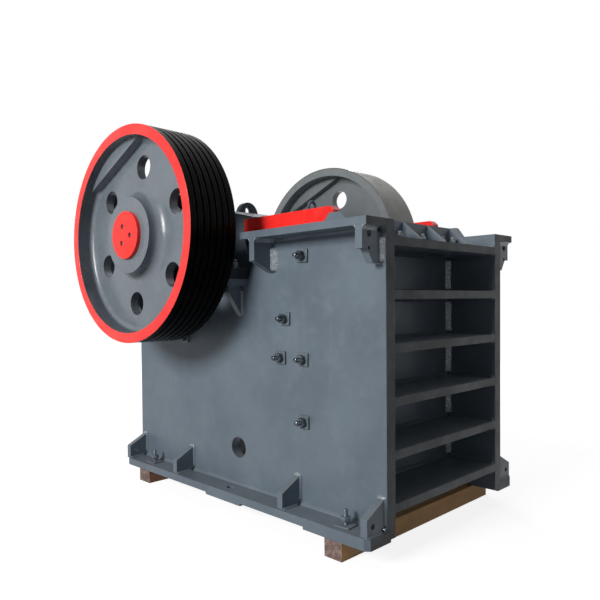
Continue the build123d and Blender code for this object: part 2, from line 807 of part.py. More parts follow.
with BuildPart() as toggle_seat_rear:
    with BuildSketch(Plane.XZ):
        with Locations((block_front_x - toggle_seat_depth / 2, toggle_rear_z)):
            Rectangle(toggle_seat_depth, toggle_seat_height)
        with Locations((toggle_rear_x, toggle_rear_z)):
            Circle(toggle_thickness / 2 + seat_clearance, mode=Mode.SUBTRACT)
    extrude(amount=toggle_seat_width / 2, both=True)
toggle_seat_rear.part.label = "toggle_seat_rear"
export_step(toggle_seat_rear.part, "parts/toggle_seat_rear.step")

# Toggle plate with rounded ends
toggle_span = math.hypot(toggle_front_x - toggle_rear_x, toggle_front_z - toggle_rear_z)
toggle_tilt = math.degrees(math.atan2(toggle_front_z - toggle_rear_z, toggle_front_x - toggle_rear_x))
with BuildPart() as toggle_plate:
    with BuildSketch(Plane.XZ):
        with Locations(((toggle_rear_x + toggle_front_x) / 2, (toggle_rear_z + toggle_front_z) / 2)):
            SlotCenterToCenter(toggle_span, toggle_thickness, rotation=toggle_tilt)
    extrude(amount=toggle_width / 2, both=True)
toggle_plate.part.label = "toggle_plate"
export_step(toggle_plate.part, "parts/toggle_plate.step")

# Adjusting block between the rear wall and the toggle
block_z = timber_height + toggle_block_bottom + toggle_block_height / 2
with BuildPart() as toggle_block:
    with BuildSketch(Plane.XZ):
        with Locations(((rear_wall_front_x + block_front_x) / 2, block_z)):
            Rectangle(toggle_block_depth, toggle_block_height)
    extrude(amount=side_in_y, both=True)
    with BuildSketch(Plane.XZ):
        with Locations((block_front_x - toggle_seat_depth / 2, toggle_rear_z)):
            Rectangle(toggle_seat_depth, toggle_seat_height)
    extrude(amount=toggle_seat_width / 2, both=True, mode=Mode.SUBTRACT)
toggle_block.part.label = "toggle_block"
export_step(toggle_block.part, "parts/toggle_block.step")

# Tension rod with its eye, pin, spring, washers and nut
spring_front_x = rear_wall_x - washer_thickness
spring_back_x = spring_front_x - spring_length
nut_front_x = spring_back_x - washer_thickness
rod_end_x = nut_front_x - nut_thickness - rod_tail
with BuildPart() as tension_rod:
    with BuildSketch(Plane.YZ.offset(rod_end_x)):
        with Locations((0, rod_z)):
            Circle(rod_radius)
    extrude(amount=rod_eye_x - rod_end_x)
    with BuildSketch(Plane.XZ):
        with Locations((rod_eye_x, rod_z)):
            Circle(rod_eye_radius)
    extrude(amount=rod_eye_thickness / 2, both=True)
    with BuildSketch(Plane.XZ):
        with Locations((rod_eye_x, rod_z)):
            Circle(pin_radius + seat_clearance)
    extrude(amount=rod_eye_thickness, both=True, mode=Mode.SUBTRACT)
tension_rod.part.label = "tension_rod"
export_step(tension_rod.part, "parts/tension_rod.step")

with BuildPart() as tension_pin:
    with BuildSketch(Plane.XZ):
        with Locations((rod_eye_x, rod_z)):
            Circle(pin_radius)
    extrude(amount=pin_length / 2, both=True)
tension_pin.part.label = "tension_pin"
export_step(tension_pin.part, "parts/tension_pin.step")

spring_pitch = spring_length / spring_turns
with BuildPart() as tension_spring:
    with BuildSketch(Plane.YZ.offset(spring_back_x)):
        with Locations((0, rod_z)):
            Circle(spring_radius)
            Circle(spring_bore_radius, mode=Mode.SUBTRACT)
    extrude(amount=spring_length)
    with BuildSketch(*[
        Plane.YZ.offset(spring_back_x + n * spring_pitch - spring_wire_gap / 2)
        for n in range(1, spring_turns)
    ]):
        with Locations((0, rod_z)):
            Circle(spring_radius)
            Circle((spring_radius + spring_bore_radius) / 2, mode=Mode.SUBTRACT)
    extrude(amount=spring_wire_gap, mode=Mode.SUBTRACT)
tension_spring.part.label = "tension_spring"
export_step(tension_spring.part, "parts/tension_spring.step")

with BuildPart() as tension_nut:
    with BuildSketch(
        Plane.YZ.offset(rear_wall_x - washer_thickness),
        Plane.YZ.offset(nut_front_x),
    ):
        with Locations((0, rod_z)):
            Circle(washer_radius)
            Circle(rod_radius + seat_clearance, mode=Mode.SUBTRACT)
    extrude(amount=washer_thickness)
    with BuildSketch(Plane.YZ.offset(nut_front_x - nut_thickness)):
        with Locations((0, rod_z)):
            RegularPolygon(nut_across_flats / 2, 6, major_radius=False)
            Circle(rod_radius + seat_clearance, mode=Mode.SUBTRACT)
    extrude(amount=nut_thickness)
tension_nut.part.label = "tension_nut"
export_step(tension_nut.part, "parts/tension_nut.step")

# Main bearing housing on its seat
with BuildPart() as bearing_housing_near:
    with BuildSketch(Plane.XZ.offset(side_in_y)):
        with Locations((shaft_x, shaft_z)):
            Circle(housing_radius)
        with Locations((shaft_x, seat_z + housing_base_height / 2)):
            Rectangle(housing_length, housing_base_height)
        with BuildLine():
            Polyline(
                (shaft_x - shoulder_foot, seat_z),
                (shaft_x + shoulder_foot, seat_z),
                (shaft_x + shoulder_foot, seat_z + housing_base_height),
                (shaft_x + shoulder_top, shaft_z + shoulder_rise),
                (shaft_x - shoulder_top, shaft_z + shoulder_rise),
                (shaft_x - shoulder_foot, seat_z + housing_base_height),
                close=True,
            )
        make_face()
        with Locations((shaft_x, seat_z - housing_radius / 2)):
            Rectangle(housing_length, housing_radius, mode=Mode.SUBTRACT)
        with Locations((shaft_x, shaft_z)):
            Circle(journal_radius + journal_clearance, mode=Mode.SUBTRACT)
    extrude(amount=housing_width)
bearing_housing_near.part.label = "bearing_housing_near"
export_step(bearing_housing_near.part, "parts/bearing_housing_near.step")

with BuildPart() as bearing_housing_far:
    mirror(bearing_housing_near.part, about=Plane.XZ)
bearing_housing_far.part.label = "bearing_housing_far"
export_step(bearing_housing_far.part, "parts/bearing_housing_far.step")

# Bearing covers outside and inside the housing
with BuildPart() as bearing_cover_near:
    with BuildSketch(Plane.XZ.offset(housing_out_y)):
        with Locations((shaft_x, shaft_z)):
            Circle(cover_radius)
            Circle(shaft_end_radius + cover_clearance, mode=Mode.SUBTRACT)
    extrude(amount=cover_thickness)
    with BuildSketch(Plane.XZ.offset(side_in_y - cover_thickness)):
        with Locations((shaft_x, shaft_z)):
            Circle(cover_radius)
            Circle(journal_radius + cover_clearance, mode=Mode.SUBTRACT)
    extrude(amount=cover_thickness)
bearing_cover_near.part.label = "bearing_cover_near"
export_step(bearing_cover_near.part, "parts/bearing_cover_near.step")

with BuildPart() as bearing_cover_far:
    mirror(bearing_cover_near.part, about=Plane.XZ)
bearing_cover_far.part.label = "bearing_cover_far"
export_step(bearing_cover_far.part, "parts/bearing_cover_far.step")

# Eccentric shaft: eccentric middle for the jaw, collars, journals and wheel ends
eccentric_x = shaft_x + eccentricity * math.cos(math.radians(eccentric_angle))
eccentric_z = shaft_z + eccentricity * math.sin(math.radians(eccentric_angle))
journal_end_y = housing_out_y - journal_end_inset
with BuildPart() as eccentric_shaft:
    with BuildSketch(Plane.XZ):
        with Locations((eccentric_x, eccentric_z)):
            Circle(eccentric_radius)
    extrude(amount=eccentric_end_y)
    with BuildSketch(Plane.XZ.offset(eccentric_end_y)):
        with Locations((shaft_x, shaft_z)):
            Circle(collar_radius)
    extrude(amount=collar_length)
    with BuildSketch(Plane.XZ.offset(collar_end_y)):
        with Locations((shaft_x, shaft_z)):
            Circle(journal_radius)
    extrude(amount=journal_end_y - collar_end_y)
    with BuildSketch(Plane.XZ.offset(journal_end_y)):
        with Locations((shaft_x, shaft_z)):
            Circle(shaft_end_radius)
    extrude(amount=hub_out_y - shaft_end_gap - journal_end_y)
    mirror(about=Plane.XZ)
eccentric_shaft.part.label = "eccentric_shaft"
export_step(eccentric_shaft.part, "parts/eccentric_shaft.step")

# Wheel casting, common to both sides: deep rim, dished web with six round holes and long hub
wheel_plane = Plane.XY.offset(shaft_z)
hub_bore = shaft_end_radius + hub_fit
rim_inner = wheel_radius - rim_thickness
with BuildPart() as wheel_casting:
    with BuildSketch(wheel_plane):
        with BuildLine():
            Polyline(
                (shaft_x + hub_bore, hub_out_y),
                (shaft_x + hub_radius, hub_out_y),
                (shaft_x + hub_radius, web_out_y),
                (shaft_x + rim_inner, web_out_y),
                (shaft_x + rim_inner, wheel_out_y),
                (shaft_x + wheel_radius, wheel_out_y),
                (shaft_x + wheel_radius, wheel_in_y),
                (shaft_x + rim_inner, wheel_in_y),
                (shaft_x + rim_inner, web_in_y),
                (shaft_x + hub_radius, web_in_y),
                (shaft_x + hub_radius, wheel_in_y + hub_back_setback),
                (shaft_x + hub_bore, wheel_in_y + hub_back_setback),
                close=True,
            )
        make_face()
    revolve(axis=shaft_axis)
    web_edges = edges().filter_by(GeomType.CIRCLE)
    web_edges = web_edges.filter_by_position(Axis.Y, web_in_y - rim_fillet, web_out_y + rim_fillet)
    fillet(web_edges.filter_by(lambda e: abs(e.radius - hub_radius) < hub_fillet), radius=hub_fillet)
    fillet(web_edges.filter_by(lambda e: abs(e.radius - rim_inner) < rim_fillet), radius=rim_fillet)
    with BuildSketch(Plane(origin=(shaft_x, web_in_y, shaft_z), x_dir=(1, 0, 0), z_dir=(0, -1, 0))):
        with PolarLocations(wheel_hole_circle, wheel_hole_count, start_angle=wheel_hole_angle):
            Circle(wheel_hole_radius)
    extrude(amount=-web_thickness, mode=Mode.SUBTRACT)

# Flywheel: the casting with its counterweight on the inner side of the web
weight_dir = (math.cos(math.radians(weight_angle)), 0, math.sin(math.radians(weight_angle)))
with BuildPart() as flywheel:
    add(wheel_casting.part)
    with BuildSketch(Plane(origin=(shaft_x, web_in_y, shaft_z), x_dir=weight_dir, z_dir=(0, -1, 0))):
        Circle(rim_inner)
        with Locations((0, (weight_chord - rim_inner) / 2)):
            Rectangle(2 * rim_inner, weight_chord + rim_inner, mode=Mode.SUBTRACT)
    extrude(amount=weight_height)
flywheel.part.label = "flywheel"
export_step(flywheel.part, "parts/flywheel.step")

# Belt pulley: the same casting mirrored, counterweight on the outer side, V grooves round the rim
groove_plane = Plane.XY.offset(shaft_z)
with BuildPart() as belt_pulley:
    mirror(wheel_casting.part, about=Plane.XZ)
    with BuildSketch(Plane(origin=(shaft_x, -web_out_y, shaft_z), x_dir=weight_dir, z_dir=(0, -1, 0))):
        Circle(rim_inner)
        with Locations((0, (weight_chord - rim_inner) / 2)):
            Rectangle(2 * rim_inner, weight_chord + rim_inner, mode=Mode.SUBTRACT)
    extrude(amount=weight_height)
    with BuildSketch(groove_plane):
        with Locations(Location((shaft_x + wheel_radius - groove_depth / 2, -(wheel_in_y + wheel_out_y) / 2), 90)):
            with GridLocations(groove_pitch, groove_pitch, groove_count, 1):
                Trapezoid(groove_width, groove_depth, groove_angle, rotation=180)
    revolve(axis=shaft_axis, mode=Mode.SUBTRACT)
belt_pulley.part.label = "belt_pulley"
export_step(belt_pulley.part, "parts/belt_pulley.step")

# Round end caps that cover the shaft ends, with recesses for their bolts
with BuildPart() as pulley_cap:
    with BuildSketch(Plane.XZ.offset(hub_out_y)):
        with Locations((shaft_x, shaft_z)):
            Circle(end_cap_radius)
    extrude(amount=hub_setback)
    with BuildSketch(Plane.XZ.offset(wheel_out_y)):
        with Locations((shaft_x, shaft_z)):
            with PolarLocations(cap_bolt_circle, cap_bolt_count, start_angle=cap_bolt_angle):
                Circle(cap_bolt_recess_radius)
    extrude(amount=-cap_bolt_recess_depth, mode=Mode.SUBTRACT)
pulley_cap.part.label = "pulley_cap"
export_step(pulley_cap.part, "parts/pulley_cap.step")

with BuildPart() as flywheel_cap:
    mirror(pulley_cap.part, about=Plane.XZ)
flywheel_cap.part.label = "flywheel_cap"
export_step(flywheel_cap.part, "parts/flywheel_cap.step")

# Timbers that the machine stands on
with BuildPart() as timber_front:
    with BuildSketch(Plane.XY):
        with Locations((front_x - front_timber_inset, 0)):
            Rectangle(front_timber_width, front_timber_length)
    extrude(amount=timber_height)
timber_front.part.label = "timber_front"
export_step(timber_front.part, "parts/timber_front.step")

with BuildPart() as timber_rear:
    with BuildSketch(Plane.XY):
        with Locations((rear_x + rear_timber_inset, 0)):
            Rectangle(rear_timber_width, rear_timber_length)
    extrude(amount=plate_z)
timber_rear.part.label = "timber_rear"
export_step(timber_rear.part, "parts/timber_rear.step")
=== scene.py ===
import bpy
import bmesh
import math
import random
from mathutils import Vector, Matrix


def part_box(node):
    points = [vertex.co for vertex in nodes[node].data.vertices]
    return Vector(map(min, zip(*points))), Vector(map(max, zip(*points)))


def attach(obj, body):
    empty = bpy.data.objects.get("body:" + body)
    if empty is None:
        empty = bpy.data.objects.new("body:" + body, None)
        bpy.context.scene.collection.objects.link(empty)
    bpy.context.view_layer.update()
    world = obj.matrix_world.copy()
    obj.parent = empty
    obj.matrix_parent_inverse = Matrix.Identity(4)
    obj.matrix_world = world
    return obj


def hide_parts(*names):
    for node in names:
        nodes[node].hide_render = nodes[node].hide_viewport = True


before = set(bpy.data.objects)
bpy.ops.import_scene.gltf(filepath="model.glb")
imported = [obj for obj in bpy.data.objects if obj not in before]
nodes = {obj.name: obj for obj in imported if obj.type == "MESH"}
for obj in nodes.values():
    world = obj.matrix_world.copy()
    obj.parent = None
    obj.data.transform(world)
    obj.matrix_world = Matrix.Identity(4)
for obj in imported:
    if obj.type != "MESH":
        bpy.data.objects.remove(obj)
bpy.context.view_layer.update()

scene = bpy.context.scene

# Main places, in metres
SHAFT_X, SHAFT_Z = -0.445, 1.726
FRONT_X, REAR_X = 1.120, -1.060
IN_Y, OUT_Y = 0.544, 0.614
BASE_TOP = 0.159
CAP_LOW, CAP_TOP = 1.660, 1.700  # top flange
SEAT_LOW, SEAT_TOP = 1.400, 1.440  # bearing seat
WALL_X = 0.805
SHELF_Z = [1.5955 - 0.2675 * i for i in range(6)]
HALF_SHELF = 0.0225
REAR_WALL_X = -0.760
REAR_SHELF_Z = (0.160, 0.580, 0.920, 1.2575)
BASE_GUSSET_X = (1.088, 0.530, -0.440, -1.015)
TOP_GUSSET_X = (1.075, 0.338)
SEAT_GUSSET_X = (0.060, -1.025)
HALF_GUSSET = 0.020
ANCHOR_X, ANCHOR_Y = (0.926, -0.780), 0.694
GUARD_Z = 1.618
CAP_BOLT_CIRCLE, CAP_BOLT_Y = 0.060, 1.1078
COVER_BOLT_CIRCLE, COVER_Y = 0.186, 0.769

# Looks shared by several materials
FRAME_GLOSS, PULLEY_GLOSS = 0.28, 0.45

# How far a weld reaches into the steel behind it
SINK = 0.0012


# Materials
def srgb(r, g, b):
    """Linear colour of an sRGB value from 0 to 255."""
    def lin(c):
        c /= 255.0
        return c / 12.92 if c <= 0.04045 else ((c + 0.055) / 1.055) ** 2.4
    return (lin(r), lin(g), lin(b), 1.0)


class Nodes:
    """Short way to build a material's nodes."""

    def __init__(self, name):
        self.mat = bpy.data.materials.new(name)
        self.mat.use_nodes = True
        self.tree = self.mat.node_tree
        self.tree.nodes.clear()
        self.out = self.add("ShaderNodeOutputMaterial")
        self.bsdf = self.add("ShaderNodeBsdfPrincipled")
        self.link(self.bsdf.outputs[0], self.out.inputs[0])
        self.coord = self.add("ShaderNodeTexCoord").outputs["Object"]

    def add(self, kind, **props):
        n = self.tree.nodes.new(kind)
        for k, v in props.items():
            setattr(n, k, v)
        return n

    def link(self, a, b):
        self.tree.links.new(a, b)

    def put(self, socket, value):
        if isinstance(value, bpy.types.NodeSocket):
            self.link(value, socket)
        else:
            socket.default_value = value

    def mapping(self, scale=(1, 1, 1), location=(0, 0, 0), vector=None):
        m = self.add("ShaderNodeMapping")
        self.link(vector or self.coord, m.inputs["Vector"])
        m.inputs["Scale"].default_value = scale
        m.inputs["Location"].default_value = location
        return m.outputs[0]

    def noise(self, scale, detail=4, rough=0.55, vector=None, distortion=0.0):
        n = self.add("ShaderNodeTexNoise")
        self.link(vector or self.coord, n.inputs["Vector"])
        n.inputs["Scale"].default_value = scale
        n.inputs["Detail"].default_value = detail
        n.inputs["Roughness"].default_value = rough
        n.inputs["Distortion"].default_value = distortion
        return n.outputs["Fac"]

    def ramp(self, fac, lo, hi, a=0.0, b=1.0):
        n = self.add("ShaderNodeMapRange", clamp=True)
        n.interpolation_type = "SMOOTHSTEP"
        self.put(n.inputs["Value"], fac)
        n.inputs["From Min"].default_value = lo
        n.inputs["From Max"].default_value = hi
        n.inputs["To Min"].default_value = a
        n.inputs["To Max"].default_value = b
        return n.outputs[0]

    def math(self, op, a, b=0.0, clamp=False):
        n = self.add("ShaderNodeMath", operation=op, use_clamp=clamp)
        self.put(n.inputs[0], a)
        self.put(n.inputs[1], b)
        return n.outputs[0]

    def mix(self, fac, a, b):
        n = self.add("ShaderNodeMix", data_type="RGBA", clamp_factor=True)
        self.put(n.inputs["Factor"], fac)
        self.put(n.inputs[6], a)
        self.put(n.inputs[7], b)
        return n.outputs[2]

    def xyz(self, vector=None):
        n = self.add("ShaderNodeSeparateXYZ")
        self.link(vector or self.coord, n.inputs[0])
        return n.outputs

    def up(self):
        """How far the surface faces up, from the object's own normals."""
        t = self.add("ShaderNodeTexCoord")
        return self.xyz(t.outputs["Normal"])[2]

    def edges(self, radius):
        """1 on edges, 0 on flats."""
        bev = self.add("ShaderNodeBevel", samples=4)
        bev.inputs["Radius"].default_value = radius
        geo = self.add("ShaderNodeNewGeometry")
        dot = self.add("ShaderNodeVectorMath", operation="DOT_PRODUCT")
        self.link(bev.outputs[0], dot.inputs[0])
        self.link(geo.outputs["Normal"], dot.inputs[1])
        self.soft = bev.outputs[0]
        return self.ramp(self.math("SUBTRACT", 1.0, dot.outputs["Value"]), 0.02, 0.22)

    def bump(self, height, strength, distance, normal=None):
        n = self.add("ShaderNodeBump")
        n.inputs["Strength"].default_value = strength
        n.inputs["Distance"].default_value = distance
        self.link(height, n.inputs["Height"])
        if normal is not None:
            self.link(normal, n.inputs["Normal"])
        return n.outputs[0]


def paint(name, base, dark, light, rough=0.36, dust=0.35, wear=0.5, upward=True, tint=None,
          gloss=FRAME_GLOSS):
    """Brushed-on machine enamel: uneven film, runs, dust, chips and bright rubbed edges."""
    m = Nodes(name)
    broad = m.noise(2.1, 5, 0.6)
    mid = m.noise(9.0, 4, 0.6)
    col = m.mix(m.ramp(broad, 0.30, 0.70), dark, base)
    col = m.mix(m.ramp(mid, 0.52, 0.80, 0.0, 0.45), col, light)
    streak = m.noise(1.0, 5, 0.62, vector=m.mapping(scale=(16, 16, 1.1)))
    col = m.mix(m.ramp(streak, 0.56, 0.78, 0.0, 0.22), col, light)
    drip = m.noise(1.0, 4, 0.6, vector=m.mapping(scale=(28, 28, 1.8), location=(3, 1, 2)))
    col = m.mix(m.ramp(drip, 0.60, 0.80, 0.0, 0.28), col, dark)
    if tint is not None:
        col = tint(m, col)
    grain = m.noise(160.0, 3, 0.6)
    edge = m.edges(0.0045)
    rubbed = m.math("MULTIPLY", edge, m.ramp(m.noise(24.0, 5, 0.7), 0.42, 0.66), clamp=True)
    rubbed = m.math("MULTIPLY", rubbed, wear)
    col = m.mix(rubbed, col, srgb(150, 150, 148))
    patches = m.noise(3.3, 3, 0.5, vector=m.mapping(location=(5, 9, 1)))
    chips = m.math("MULTIPLY", m.ramp(m.noise(46.0, 6, 0.75), 0.695, 0.725), m.ramp(patches, 0.50, 0.62))
    chips = m.math("MULTIPLY", chips, wear)
    col = m.mix(chips, col, srgb(70, 58, 50))
    specks = m.ramp(m.noise(330.0, 2, 0.5), 0.73, 0.78, 0.0, 0.5 * wear)
    col = m.mix(specks, col, srgb(172, 172, 168))
    dusty = m.ramp(m.noise(6.5, 6, 0.7, vector=m.mapping(location=(2, 4, 7))), 0.40, 0.78)
    if upward:
        facing = m.ramp(m.up(), 0.45, 0.95)
        heavy = m.math("MULTIPLY", facing, m.ramp(m.noise(11.0, 6, 0.7), 0.30, 0.72, 0.25, 1.0))
        dusty = m.math("MAXIMUM", m.math("MULTIPLY", dusty, 0.30), heavy)
    else:
        dusty = m.math("MULTIPLY", dusty, 0.35)
    dusty = m.math("MULTIPLY", dusty, dust)
    col = m.mix(dusty, col, srgb(158, 152, 142))
    m.link(col, m.bsdf.inputs["Base Color"])
    r = m.math("ADD", m.ramp(mid, 0.3, 0.7, rough - 0.06, rough + 0.10), m.math("MULTIPLY", dusty, 0.55))
    r = m.math("ADD", r, m.math("MULTIPLY", chips, 0.35), clamp=True)
    m.link(r, m.bsdf.inputs["Roughness"])
    m.bsdf.inputs["Specular IOR Level"].default_value = gloss
    h = m.math("ADD", m.math("MULTIPLY", grain, 0.35), m.noise(38.0, 4, 0.6))
    h = m.math("SUBTRACT", h, m.math("MULTIPLY", chips, 1.2))
    n = m.bump(m.noise(4.2, 3, 0.5), 0.22, 0.010, m.soft)
    n = m.bump(h, 0.35, 0.0011, n)
    m.link(n, m.bsdf.inputs["Normal"])
    return m.mat


GREY = srgb(97, 109, 120)
GREY_DARK = srgb(86, 97, 108)
GREY_LIGHT = srgb(108, 120, 130)
RED = srgb(247, 48, 42)
RED_DARK = srgb(222, 30, 27)
RED_LIGHT = srgb(252, 74, 66)


def radius_from_shaft(m):
    """Distance from the shaft's axis, and the place along it."""
    x, y, z = m.xyz()
    dx = m.math("SUBTRACT", x, SHAFT_X)
    dz = m.math("SUBTRACT", z, SHAFT_Z)
    return m.math("SQRT", m.math("ADD", m.math("MULTIPLY", dx, dx), m.math("MULTIPLY", dz, dz))), y


def pulley_tint(m, col):
    """Red ring on the outer face of the rim, black grooved tread, and painted shade on the rim's inner wall."""
    r, y = radius_from_shaft(m)
    # Painted shade: darkens the rim's inner wall, which lies in shade.
    rim_wall_shade = m.math("MULTIPLY", m.ramp(r, 0.606, 0.611), m.ramp(m.noise(6.0, 4, 0.6), 0.3, 0.7, 0.45, 0.70))
    col = m.mix(rim_wall_shade, col, srgb(44, 50, 58))
    wob = m.math("MULTIPLY", m.math("SUBTRACT", m.noise(26.0, 3, 0.6), 0.5), 0.010)
    face = m.ramp(m.math("ADD", y, m.math("MULTIPLY", wob, 0.25)), -1.1228, -1.1220, 1.0, 0.0)
    ring = m.math("MULTIPLY", face, m.ramp(m.math("ADD", r, wob), 0.6105, 0.6125))
    red = m.mix(m.ramp(m.noise(5.0, 4, 0.6), 0.35, 0.7), RED_DARK, RED)
    red = m.mix(m.ramp(m.noise(13.0, 4, 0.6), 0.5, 0.8, 0.0, 0.5), red, RED_LIGHT)
    col = m.mix(ring, col, red)
    tread = m.math("MULTIPLY", m.math("SUBTRACT", 1.0, face), m.ramp(r, 0.628, 0.634))
    black = m.mix(m.ramp(m.noise(30.0, 4, 0.6), 0.4, 0.75), srgb(3, 3, 3), srgb(9, 9, 9))
    shine = m.math("SUBTRACT", PULLEY_GLOSS, m.math("MULTIPLY", tread, 0.42))
    m.link(shine, m.bsdf.inputs["Specular IOR Level"])
    return m.mix(tread, col, black)


def rim_tint(m, col):
    """Thin brown film of dust and rust on the plain rim."""
    r, y = radius_from_shaft(m)
    rim = m.math("MULTIPLY", m.ramp(r, 0.664, 0.672), m.ramp(m.noise(7.0, 5, 0.65), 0.25, 0.65, 0.45, 0.95))
    return m.mix(rim, col, srgb(70, 66, 55))


def weld_glint_tint(m, col):
    """Pale mottle as painted glints, and dark mottle of slag and spatter, on hand-laid welds."""
    # Painted highlight: near-white mottle standing in for glints on the weld beads.
    col = m.mix(m.ramp(m.noise(75.0, 5, 0.7), 0.50, 0.62, 0.0, 0.65), col, srgb(196, 202, 206))
    return m.mix(m.ramp(m.noise(120.0, 5, 0.7), 0.54, 0.64, 0.0, 0.75), col, srgb(70, 78, 86))


def front_face_shade(m, col):
    """Painted shade: darker, warmer colour and less sheen on the machine's front faces, which the key light
    hardly reaches.
    """
    x, y, z = m.xyz()
    uneven = m.ramp(m.noise(5.0, 5, 0.65), 0.25, 0.70, 0.50, 0.85)
    # film holds the painted shade, uneven, on everything within a few millimetres of the front.
    film = m.math("MULTIPLY", m.ramp(x, 1.1150, 1.1195), uneven)
    shine = m.math("SUBTRACT", FRAME_GLOSS, m.math("MULTIPLY", film, 0.24))
    m.link(shine, m.bsdf.inputs["Specular IOR Level"])
    return m.mix(film, col, srgb(66, 66, 66))


def cheek_tail_shadow(m, col):
    """Painted shadow: near-black on the tail of the cheek below the frame's top, where the pulley's shadow falls.
    """
    x, y, z = m.xyz()
    wob = m.math("MULTIPLY", m.math("SUBTRACT", m.noise(30.0, 3, 0.6), 0.5), 0.006)
    below = m.ramp(m.math("ADD", z, wob), 1.694, 1.700, 1.0, 0.0)
    # Painted shadow on the cheek's low tail.
    shadowed_tail = m.math("MULTIPLY", below, m.ramp(x, 0.262, 0.285, 1.0, 0.0))
    return m.mix(shadowed_tail, col, srgb(20, 18, 18))


MAT = {}
# The weld enamel is paler than the frame's: a painted highlight for the welds' glints.
MAT["weld"] = paint(
    "weld_enamel_painted_glint", srgb(132, 141, 148), srgb(108, 118, 127), srgb(156, 163, 168),
    rough=0.30, dust=0.10, wear=0.7, upward=False, tint=weld_glint_tint, gloss=0.5)
MAT["washer"] = paint(
    "washer_enamel", srgb(92, 103, 113), srgb(76, 86, 95), srgb(104, 115, 124),
    rough=0.30, dust=0.10, wear=0.9, upward=False, gloss=0.5)
# The housing enamel is darker and duller than the frame's: painted shade for the pulley's shadow over the
# housings, also used on the swing jaw and bearing covers.
MAT["housing"] = paint(
    "housing_enamel_painted_shade", srgb(72, 81, 90), srgb(58, 66, 74), srgb(88, 97, 105),
    rough=0.58, dust=0.10, gloss=0.12)
MAT["frame"] = paint("frame_enamel", GREY, GREY_DARK, GREY_LIGHT, dust=0.20, tint=front_face_shade)
MAT["wheel"] = paint(
    "wheel_enamel", srgb(114, 120, 124), srgb(103, 109, 113), srgb(126, 131, 134),
    rough=0.28, dust=0.16, upward=False, tint=rim_tint, gloss=0.45)
MAT["pulley"] = paint(
    "pulley_enamel", srgb(104, 112, 120), srgb(94, 102, 110), srgb(116, 123, 129),
    rough=0.24, dust=0.03, wear=0.08, upward=False, tint=pulley_tint)
MAT["red"] = paint(
    "red_enamel", RED, RED_DARK, RED_LIGHT, rough=0.30, dust=0.14, wear=0.35, tint=cheek_tail_shadow)
MAT["redcap"] = paint(
    "red_cap_enamel", RED, RED_DARK, RED_LIGHT, rough=0.28, dust=0.08, wear=0.3, upward=False)


def bare_metal(name, base, light, dark, rough, metallic=0.85, grain=90.0, rust=0.25):
    """Unpainted metal with a fine grain, bright spots and a little rust."""
    m = Nodes(name)
    col = m.mix(m.ramp(m.noise(14.0, 5, 0.65), 0.3, 0.7), dark, base)
    col = m.mix(m.ramp(m.noise(60.0, 4, 0.6), 0.55, 0.8, 0.0, 0.5), col, light)
    spots = m.ramp(m.noise(30.0, 6, 0.75), 0.56, 0.72, 0.0, rust)
    col = m.mix(spots, col, srgb(98, 62, 40))
    m.link(col, m.bsdf.inputs["Base Color"])
    m.bsdf.inputs["Metallic"].default_value = metallic
    m.link(m.ramp(m.noise(25.0, 5, 0.6), 0.3, 0.75, rough - 0.08, rough + 0.15), m.bsdf.inputs["Roughness"])
    n = m.bump(m.noise(grain, 4, 0.65), 0.35, 0.0008)
    m.link(n, m.bsdf.inputs["Normal"])
    return m.mat


MAT["steel"] = bare_metal(
    "turned_steel", srgb(150, 150, 150), srgb(190, 190, 188), srgb(118, 118, 120), 0.34)
MAT["cast"] = bare_metal(
    "manganese_casting", srgb(64, 66, 69), srgb(94, 94, 93), srgb(46, 47, 50), 0.62,
    metallic=0.35, grain=55.0, rust=0.15)
MAT["spring"] = bare_metal(
    "black_spring", srgb(28, 28, 30), srgb(52, 52, 52), srgb(16, 16, 17), 0.42, metallic=0.3)
MAT["bolt"] = bare_metal(
    "bolt_steel", srgb(98, 108, 116), srgb(176, 184, 190), srgb(40, 46, 52), 0.24,
    metallic=0.70, rust=0.05)


def timber(name, early, late, dark):
    """Sawn timber along y: banded grain on its sides, grey-brown fibre on its ends."""
    m = Nodes(name)
    along = m.mapping(scale=(9.0, 0.55, 9.0))
    rings = m.add("ShaderNodeTexWave", wave_type="BANDS", bands_direction="X", wave_profile="SAW")
    m.link(m.mapping(scale=(1.0, 0.06, 1.6)), rings.inputs["Vector"])
    rings.inputs["Scale"].default_value = 9.0
    rings.inputs["Distortion"].default_value = 7.0
    rings.inputs["Detail"].default_value = 3.0
    fibre = m.noise(10.0, 8, 0.7, vector=along)
    col = m.mix(m.ramp(rings.outputs["Fac"], 0.1, 0.9), early, late)
    col = m.mix(m.ramp(fibre, 0.45, 0.8, 0.0, 0.65), col, dark)
    col = m.mix(m.ramp(m.noise(3.0, 5, 0.6), 0.48, 0.75, 0.0, 0.55), col, srgb(168, 140, 112))
    col = m.mix(m.ramp(m.noise(26.0, 5, 0.7), 0.66, 0.76, 0.0, 0.7), col, srgb(64, 54, 46))
    face = m.add("ShaderNodeTexCoord")
    ends = m.ramp(m.math("ABSOLUTE", m.xyz(face.outputs["Normal"])[1]), 0.6, 0.9)
    sawn = m.mix(m.ramp(m.noise(34.0, 6, 0.7), 0.40, 0.68), srgb(96, 76, 72), srgb(142, 122, 114))
    sawn = m.mix(m.ramp(m.noise(9.0, 6, 0.75), 0.58, 0.68, 0.0, 0.85), sawn, srgb(196, 190, 184))
    col = m.mix(ends, col, sawn)
    m.link(col, m.bsdf.inputs["Base Color"])
    m.bsdf.inputs["Roughness"].default_value = 0.82
    h = m.math("ADD", fibre, m.math("MULTIPLY", rings.outputs["Fac"], 0.4))
    n = m.bump(h, 0.7, 0.0025)
    m.link(n, m.bsdf.inputs["Normal"])
    return m.mat


MAT["timber"] = timber("sawn_timber", srgb(228, 168, 110), srgb(242, 196, 142), srgb(178, 124, 82))
MAT["old_timber"] = timber("old_timber", srgb(128, 88, 68), srgb(152, 108, 84), srgb(88, 58, 46))

